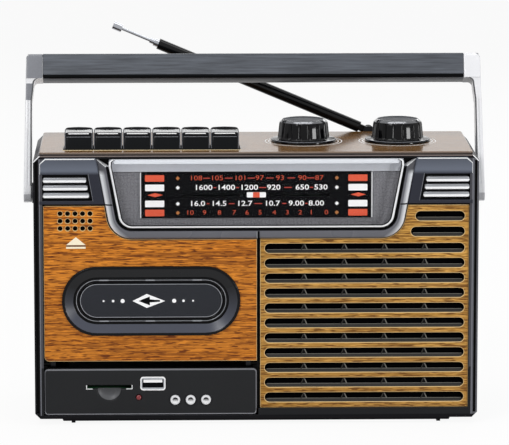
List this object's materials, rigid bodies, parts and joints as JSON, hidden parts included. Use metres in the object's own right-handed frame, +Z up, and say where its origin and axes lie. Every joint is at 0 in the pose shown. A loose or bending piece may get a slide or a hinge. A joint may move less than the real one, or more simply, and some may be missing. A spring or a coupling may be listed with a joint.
{
  "type": "radio cassette player",
  "caption": "Portable radio cassette player with wood-grain front, dial window, cassette door, slotted speaker grille, piano keys, knobs, folding handle and telescopic antenna.",
  "frame": {"origin": "on the table under the middle of the cabinet, midway between the lens and the rear wall", "axes": "+X to the right seen from the front, +Y from the front to the rear, +Z up"},
  "size_m": [0.27, 0.1, 0.2249],
  "materials": {
    "charcoal_plastic": "fine satin",
    "rear_plastic": "fine texture",
    "top_wood": "glossy wood-grain film",
    "door_wood": "wood-grain film",
    "grille_wood": "wood-grain film",
    "shoulder_plastic": "satin",
    "bright_trim": "polished",
    "bezel_plastic": "satin gloss",
    "dial_print": "printed scale",
    "clear_lens": "clear polished",
    "smoked_pane": "smoked polished",
    "black_gloss": "polished",
    "silver_plastic": "silver paint",
    "grip_plastic": "brushed look",
    "antenna_black": "semi gloss",
    "antenna_bright": "polished",
    "steel": "zinc plated",
    "motor_case": "plated",
    "brass_parts": "turned",
    "black_rubber": "matt",
    "circuit_board": "solder mask",
    "speaker_metal": "satin",
    "speaker_paper": "felted paper",
    "iron_core": "varnished",
    "dark_plastic": "satin",
    "ivory_plastic": "moulded",
    "white_cord": "braided",
    "red_plastic": "moulded"
  },
  "bodies": {
    "cabinet": {"front_cabinet": "charcoal_plastic", "rear_cabinet": "rear_plastic", "top_cover": "top_wood", "shoulder_panels": "shoulder_plastic", "shoulder_bars": "bright_trim", "dial_bezel": "bezel_plastic", "dial_plate": "dial_print", "dial_lens": "clear_lens", "speaker_panel": "grille_wood", "speaker_frame": "speaker_metal", "speaker_cone": "speaker_paper", "media_panel": "charcoal_plastic", "media_board": "circuit_board", "usb_socket": "bright_trim", "power_led": "red_plastic", "tape_chassis": "steel", "tape_motor": "motor_case", "drive_belt": "black_rubber", "key_shaft": "steel", "radio_board": "circuit_board", "dial_cord": "white_cord", "ferrite_rod": "iron_core", "transformer": "iron_core", "battery_box": "dark_plastic", "power_inlet": "dark_plastic", "earphone_jack": "dark_plastic", "antenna_bracket": "antenna_bright", "cabinet_screws": "steel"},
    "handle": {"handle_arm_left": "silver_plastic", "handle_arm_right": "silver_plastic", "handle_grip": "grip_plastic"},
    "cassette_door": {"door_panel": "door_wood", "window_bezel": "black_gloss", "window_pane": "smoked_pane", "cassette_holder": "dark_plastic"},
    "record_key": {"record_key": "black_gloss"},
    "play_key": {"play_key": "black_gloss"},
    "rewind_key": {"rewind_key": "black_gloss"},
    "forward_key": {"forward_key": "black_gloss"},
    "stop_key": {"stop_key": "black_gloss"},
    "pause_key": {"pause_key": "black_gloss"},
    "tuning": {"tuning_knob": "black_gloss", "tuning_drum": "ivory_plastic"},
    "dial_pointer": {"dial_pointer": "red_plastic"},
    "volume_knob": {"volume_knob": "black_gloss"},
    "antenna_tube": {"antenna_tube": "antenna_black"},
    "antenna_middle": {"antenna_middle": "antenna_bright"},
    "antenna_rod": {"antenna_rod": "antenna_bright"},
    "next_button": {"next_button": "silver_plastic"},
    "previous_button": {"previous_button": "silver_plastic"},
    "pause_button": {"pause_button": "silver_plastic"},
    "supply_spindle": {"supply_spindle": "ivory_plastic"},
    "takeup_spindle": {"takeup_spindle": "ivory_plastic"},
    "flywheel": {"flywheel": "brass_parts"},
    "motor_pulley": {"motor_pulley": "brass_parts"},
    "battery_door": {"battery_door": "rear_plastic"},
    "band_switch": {"band_switch": "dark_plastic"},
    "function_switch": {"function_switch": "dark_plastic"},
    "head_plate": {"head_plate": "steel"},
    "pinch_roller": {"pinch_roller": "black_rubber"}
  },
  "joints": [
    {"name": "handle_pivot", "type": "hinge", "parent": "cabinet", "child": "handle", "pos_m": [0, 0, 0.129], "axis": [1, 0, 0], "range_deg": [0, 112]},
    {"name": "cassette_door_hinge", "type": "hinge", "parent": "cabinet", "child": "cassette_door", "pos_m": [-0.06, -0.04, 0.035], "axis": [1, 0, 0], "range_deg": [0, 40]},
    {"name": "record_key_press", "type": "hinge", "parent": "cabinet", "child": "record_key", "pos_m": [-0.10207, 0.018, 0.149], "axis": [1, 0, 0], "range_deg": [0, 6.5], "stiffness_Nm_per_rad": 1.5},
    {"name": "play_key_press", "type": "hinge", "parent": "cabinet", "child": "play_key", "pos_m": [-0.08522, 0.018, 0.149], "axis": [1, 0, 0], "range_deg": [0, 6.5], "stiffness_Nm_per_rad": 1.5},
    {"name": "rewind_key_press", "type": "hinge", "parent": "cabinet", "child": "rewind_key", "pos_m": [-0.06838, 0.018, 0.149], "axis": [1, 0, 0], "range_deg": [0, 6.5], "stiffness_Nm_per_rad": 1.5},
    {"name": "forward_key_press", "type": "hinge", "parent": "cabinet", "child": "forward_key", "pos_m": [-0.05153, 0.018, 0.149], "axis": [1, 0, 0], "range_deg": [0, 6.5], "stiffness_Nm_per_rad": 1.5},
    {"name": "stop_key_press", "type": "hinge", "parent": "cabinet", "child": "stop_key", "pos_m": [-0.03467, 0.018, 0.149], "axis": [1, 0, 0], "range_deg": [0, 6.5], "stiffness_Nm_per_rad": 1.5},
    {"name": "pause_key_press", "type": "hinge", "parent": "cabinet", "child": "pause_key", "pos_m": [-0.01783, 0.018, 0.149], "axis": [1, 0, 0], "range_deg": [0, 6.5], "stiffness_Nm_per_rad": 1.5},
    {"name": "tuning_turn", "type": "hinge", "parent": "cabinet", "child": "tuning", "pos_m": [0.0287, 0, 0.16], "axis": [0, 0, 1], "range_deg": [-90, 90]},
    {"name": "pointer_slide", "type": "slide", "parent": "cabinet", "child": "dial_pointer", "axis": [1, 0, 0], "range_m": [-0.04, 0.04]},
    {"name": "volume_turn", "type": "hinge", "parent": "cabinet", "child": "volume_knob", "pos_m": [0.0837, 0, 0.16], "axis": [0, 0, 1], "range_deg": [-150, 150]},
    {"name": "antenna_tilt", "type": "hinge", "parent": "cabinet", "child": "antenna_tube", "pos_m": [0.0692, 0.046, 0.1588], "axis": [0, 1, 0], "range_deg": [-22.8, 112.2]},
    {"name": "antenna_middle_slide", "type": "slide", "parent": "antenna_tube", "child": "antenna_middle", "axis": [-0.9219, 0, 0.3875], "range_m": [0, 0.095]},
    {"name": "antenna_rod_slide", "type": "slide", "parent": "antenna_middle", "child": "antenna_rod", "axis": [-0.9219, 0, 0.3875], "range_m": [0, 0.078]},
    {"name": "next_button_press", "type": "slide", "parent": "cabinet", "child": "next_button", "axis": [0, 1, 0], "range_m": [0, 0.0008], "stiffness_N_per_m": 800},
    {"name": "previous_button_press", "type": "slide", "parent": "cabinet", "child": "previous_button", "axis": [0, 1, 0], "range_m": [0, 0.0008], "stiffness_N_per_m": 800},
    {"name": "pause_button_press", "type": "slide", "parent": "cabinet", "child": "pause_button", "axis": [0, 1, 0], "range_m": [0, 0.0008], "stiffness_N_per_m": 800},
    {"name": "supply_spin", "type": "hinge", "parent": "cabinet", "child": "supply_spindle", "pos_m": [-0.0819, -0.03, 0.0745], "axis": [0, 1, 0], "continuous": true},
    {"name": "takeup_spin", "type": "hinge", "parent": "cabinet", "child": "takeup_spindle", "pos_m": [-0.0394, -0.03, 0.0745], "axis": [0, 1, 0], "continuous": true},
    {"name": "flywheel_spin", "type": "hinge", "parent": "cabinet", "child": "flywheel", "pos_m": [-0.04115, -0.02, 0.1046], "axis": [0, 1, 0], "continuous": true},
    {"name": "motor_spin", "type": "hinge", "parent": "cabinet", "child": "motor_pulley", "pos_m": [-0.09665, -0.02, 0.062], "axis": [0, 1, 0], "continuous": true},
    {"name": "battery_door_slide", "type": "slide", "parent": "cabinet", "child": "battery_door", "axis": [0, 1, 0], "range_m": [0, 0.015]},
    {"name": "band_switch_slide", "type": "slide", "parent": "cabinet", "child": "band_switch", "axis": [0, 1, 0], "range_m": [-0.004, 0.004]},
    {"name": "function_switch_slide", "type": "slide", "parent": "cabinet", "child": "function_switch", "axis": [0, 1, 0], "range_m": [-0.004, 0.004]},
    {"name": "head_slide", "type": "slide", "parent": "cabinet", "child": "head_plate", "axis": [0, 0, -1], "range_m": [0, 0.0055]},
    {"name": "pinch_roller_spin", "type": "hinge", "parent": "head_plate", "child": "pinch_roller", "pos_m": [-0.04115, -0.032, 0.1161], "axis": [0, 1, 0], "continuous": true}
  ],
  "couplings": [
    {"joint": "pointer_slide", "follows": "tuning_turn", "m_per_rad": 0.0252},
    {"joint": "motor_spin", "follows": "flywheel_spin", "ratio": 5},
    {"joint": "head_slide", "follows": "play_key_press", "m_per_rad": 0.044}
  ]
}
